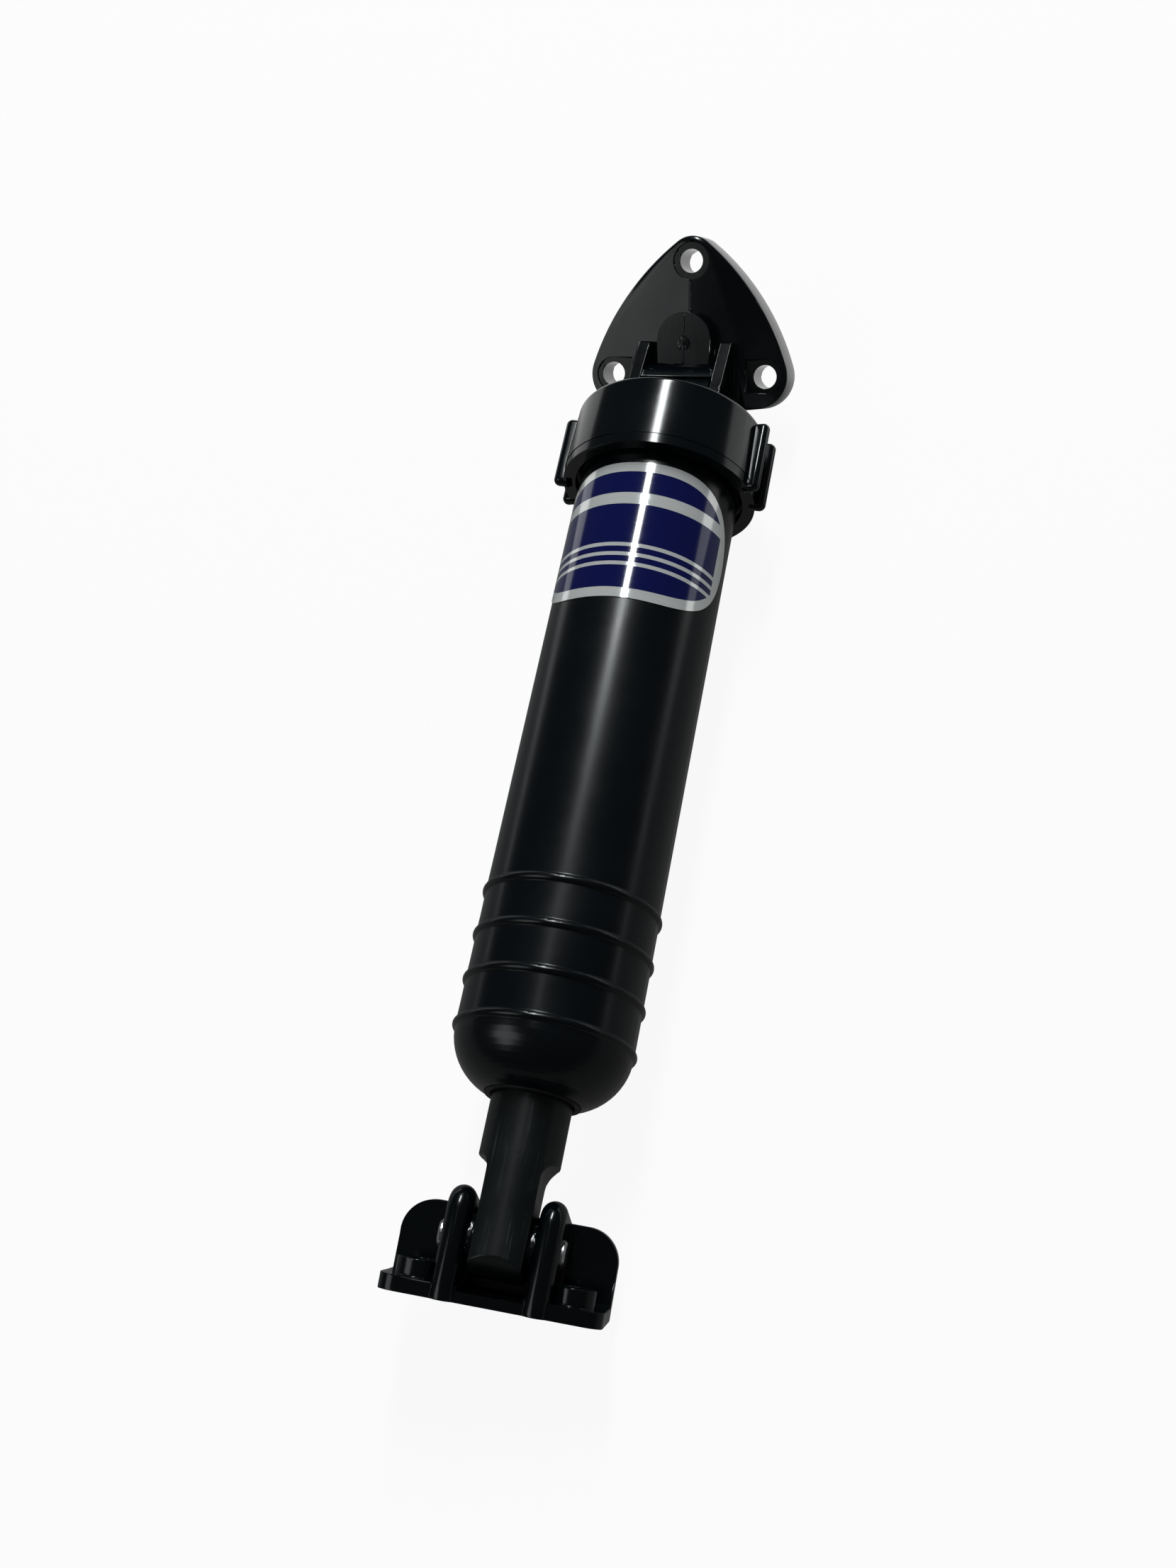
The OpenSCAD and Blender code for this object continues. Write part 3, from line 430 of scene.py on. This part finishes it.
def parting_ridge():
    """The mould's parting line, a fine rounded ridge that runs down the boss with a slight sway."""
    half, rise, sink = 0.22 * MM, 0.12 * MM, 0.2 * MM
    section = [
        (-half, -sink), (-half, 0.0), (-half * 0.5, rise),
        (half * 0.5, rise), (half, 0.0), (half, -sink),
    ]
    low, high = BOSS_FOOT + 0.4 * MM, BOSS_TOP - 0.8 * MM
    slow_sway, slow_turn = 0.06 * MM, 7.0
    quick_sway, quick_turn = 0.04 * MM, 19.0
    steps = 24
    points, faces = [], []
    for step in range(steps + 1):
        share = step / steps
        up = low + (high - low) * share
        sway = slow_sway * math.sin(slow_turn * share) + quick_sway * math.sin(quick_turn * share)
        for x, out in section:
            points.append(on_plate(x + sway, up, BOSS_FACE + out))
    count = len(section)
    for step in range(steps):
        for k in range(count):
            a, b = step * count + k, step * count + (k + 1) % count
            faces.append((a, b, b + count, a + count))
    faces.append(tuple(range(count - 1, -1, -1)))
    faces.append(tuple(steps * count + k for k in range(count)))
    make_piece("boss_parting_ridge", points, faces, hinge_black, "upper_hinge")


def gate_mark():
    """The rough star that the moulding gate left in the middle of the boss, sunk a little into it."""
    draws = random.Random(7)
    rings, spokes, lobes, twist = 9, 72, 9, 2.0
    middle = BOSS_MIDDLE - 0.6 * MM
    widest, hub = 2.3 * MM, 0.02 * MM
    sink, lift = 0.25 * MM, 0.015 * MM
    low_lump, more_lump = 0.05 * MM, 0.20 * MM
    shortest, more = 0.62, 0.38
    reach = [widest * (shortest + more * draws.random()) for _ in range(spokes)]
    heights = [[draws.random() for _ in range(spokes)] for _ in range(rings + 1)]
    points, faces = [], []
    for is_top in (True, False):
        for ring in range(rings + 1):
            share = ring / rings
            for spoke in range(spokes):
                turn = 2 * math.pi * spoke / spokes
                around = (reach[spoke] + reach[spoke - 1]) / 2 * share + hub
                wave = 0.5 + 0.5 * math.cos(lobes * turn + twist * share)
                lump = (1 - share) * (low_lump + more_lump * heights[ring][spoke] * wave)
                out = BOSS_FACE + (lump + lift if is_top else -sink)
                points.append(on_plate(around * math.cos(turn), middle + around * math.sin(turn), out))
    layer_size = (rings + 1) * spokes
    for ring in range(rings):
        for spoke in range(spokes):
            a, b = ring * spokes + spoke, ring * spokes + (spoke + 1) % spokes
            faces.append((a, a + spokes, b + spokes, b))
            faces.append(tuple(layer_size + i for i in (b, b + spokes, a + spokes, a)))
    rim = rings * spokes
    for spoke in range(spokes):
        a, b = rim + spoke, rim + (spoke + 1) % spokes
        faces.append((a, layer_size + a, layer_size + b, b))
    faces.append(tuple(range(spokes)))
    faces.append(tuple(layer_size + k for k in range(spokes - 1, -1, -1)))
    make_piece("boss_gate_mark", points, faces, hinge_black, "upper_hinge")


parting_ridge()
gate_mark()


# Floor, lamps, world and camera

FLOOR_SIZE = 4.0
FLOOR_GREY = 0.82
# Share of the floor's plain glow that the camera, glossy and clear surfaces see over its matt grey.
GLOW_SHARE = 0.93
# Strength of the floor as glossy pieces mirror it: dim along the barrel and bright past the lower part
# of the hinge plate. It changes between these distances along Y from the plate's lower edge.
MIRROR_DIM, MIRROR_BRIGHT = 0.12, 0.9
MIRROR_FROM, MIRROR_TO = 20 * MM, 35 * MM


def floor_material():
    """Pale floor that the camera sees as white but for the object's soft shadow."""
    material, nodes, links, shader = new_material("floor_white")
    nodes.remove(shader)
    output = [n for n in nodes if n.type == "OUTPUT_MATERIAL"][0]
    matt = nodes.new("ShaderNodeBsdfDiffuse")
    matt.inputs["Color"].default_value = (FLOOR_GREY, FLOOR_GREY, FLOOR_GREY, 1.0)
    glow = nodes.new("ShaderNodeEmission")
    glow.inputs["Color"].default_value = (1.0, 1.0, 1.0, 1.0)
    blend = nodes.new("ShaderNodeMixShader")
    rays = nodes.new("ShaderNodeLightPath").outputs
    parts = nodes.new("ShaderNodeSeparateXYZ")
    links.new(nodes.new("ShaderNodeNewGeometry").outputs["Position"], parts.inputs["Vector"])
    mirrored = ramp(nodes, links, parts.outputs["Y"], plate_low.y + MIRROR_FROM,
                    plate_low.y + MIRROR_TO, MIRROR_DIM, MIRROR_BRIGHT)
    strength = math_node(nodes, links, "MAXIMUM", rays["Is Camera Ray"], mirrored)
    links.new(strength, glow.inputs["Strength"])
    seen = math_node(nodes, links, "MAXIMUM", rays["Is Camera Ray"], rays["Is Glossy Ray"])
    seen = math_node(nodes, links, "MAXIMUM", seen, rays["Is Transmission Ray"])
    links.new(math_node(nodes, links, "MULTIPLY", seen, GLOW_SHARE), blend.inputs["Fac"])
    links.new(matt.outputs["BSDF"], blend.inputs[1])
    links.new(glow.outputs["Emission"], blend.inputs[2])
    links.new(blend.outputs["Shader"], output.inputs["Surface"])
    return material


def make_floor():
    """A wide plain floor that the part lies on."""
    mesh = bpy.data.meshes.new("floor")
    net = bmesh.new()
    bmesh.ops.create_grid(net, x_segments=2, y_segments=2, size=FLOOR_SIZE)
    net.to_mesh(mesh)
    net.free()
    floor = bpy.data.objects.new("floor", mesh)
    floor.location = (0.0, 0.0, cad_low.z)
    bpy.context.scene.collection.objects.link(floor)
    mesh.materials.append(floor_material())


# Lamps: place from the barrel's middle, size across and along, power in watts, and colour.
LAMPS = {
    "window": ((-0.02, 0.99, 1.05), (0.16, 0.75), 16.0, (0.95, 0.99, 1.0)),
    "window_low": ((-0.02, 0.25, 1.05), (0.08, 0.70), 0.2, (0.95, 0.99, 1.0)),
    "ceiling": ((-0.85, -0.60, 1.15), (0.8, 0.7), 2.8, (0.97, 1.0, 1.0)),
}


def lamp(name, shift, size, power, colour):
    """A rectangular area lamp, at shift from the barrel's middle, that faces it."""
    data = bpy.data.lights.new(name, "AREA")
    data.shape = "RECTANGLE"
    data.size, data.size_y = size
    data.energy = power
    data.color = colour
    target = Vector((AXIS_X, (DOME_Y + RIM_Y) / 2, AXIS_Z))
    place = target + Vector(shift)
    holder = bpy.data.objects.new(name, data)
    holder.location = place
    holder.rotation_euler = (target - place).to_track_quat("-Z", "Y").to_euler()
    bpy.context.scene.collection.objects.link(holder)


# Strength of the world as the camera sees it and as it lights the object. Glossy and clear surfaces
# also see its part below the horizon, which fades out up to BAND_TOP on the world's unit sphere.
WORLD_SEEN, WORLD_LIGHT = 1.0, 0.05
BAND_STRENGTH, BAND_TOP = 0.16, 0.05


def make_world():
    """A dim room, white to the camera, whose low part also shows in metal and glossy plastic."""
    world = bpy.data.worlds.new("studio")
    world.use_nodes = True
    nodes = world.node_tree.nodes
    links = world.node_tree.links
    backdrop = nodes["Background"]
    rays = nodes.new("ShaderNodeLightPath").outputs
    parts = nodes.new("ShaderNodeSeparateXYZ")
    links.new(nodes.new("ShaderNodeTexCoord").outputs["Generated"], parts.inputs["Vector"])
    band = ramp(nodes, links, parts.outputs["Z"], 0.0, BAND_TOP, BAND_STRENGTH, 0.0)
    mirrored = math_node(nodes, links, "MAXIMUM", rays["Is Glossy Ray"], rays["Is Transmission Ray"])
    mirrored = math_node(nodes, links, "MULTIPLY", mirrored, band)
    seen = math_node(nodes, links, "MAXIMUM", rays["Is Camera Ray"], mirrored)
    strength = ramp(nodes, links, seen, 0.0, 1.0, WORLD_LIGHT, WORLD_SEEN)
    links.new(strength, backdrop.inputs["Strength"])
    backdrop.inputs["Color"].default_value = (1.0, 1.0, 1.0, 1.0)
    bpy.context.scene.world = world


# The photograph's camera, as fitted to it: its place from the middle of the lowest rib ring, two of
# its directions, and its focal length in pixels of the photograph.
RIB_ABOVE_DOME = 14.4 * MM
EYE_FROM_RIB = Vector((135.60, -119.46, 425.18)) * MM
EYE_RIGHT = Vector((0.95486, 0.19058, -0.22785))
EYE_FORWARD = Vector((-0.28579, 0.38034, -0.87958))
FOCAL_PIXELS, PHOTO_HEIGHT = 2857.0, 2212.0
SENSOR_MM = 36.0


def make_camera():
    """Places the photograph's camera."""
    eye = Vector((AXIS_X, DOME_Y + RIB_ABOVE_DOME, AXIS_Z)) + EYE_FROM_RIB
    right, forward = EYE_RIGHT.normalized(), EYE_FORWARD.normalized()
    up = right.cross(forward)
    turn = Matrix((right, up, -forward)).transposed()
    data = bpy.data.cameras.new("camera")
    data.sensor_fit = "AUTO"
    data.sensor_width = SENSOR_MM
    data.lens = FOCAL_PIXELS * SENSOR_MM / PHOTO_HEIGHT
    data.clip_start, data.clip_end = 0.01, 20.0
    camera = bpy.data.objects.new("camera", data)
    camera.matrix_world = Matrix.Translation(eye) @ turn.to_4x4()
    bpy.context.scene.collection.objects.link(camera)
    bpy.context.scene.camera = camera


make_floor()
for name, values in LAMPS.items():
    lamp(name, *values)
make_world()
make_camera()
bpy.context.scene.view_settings.view_transform = "Standard"

bpy.context.view_layer.update()
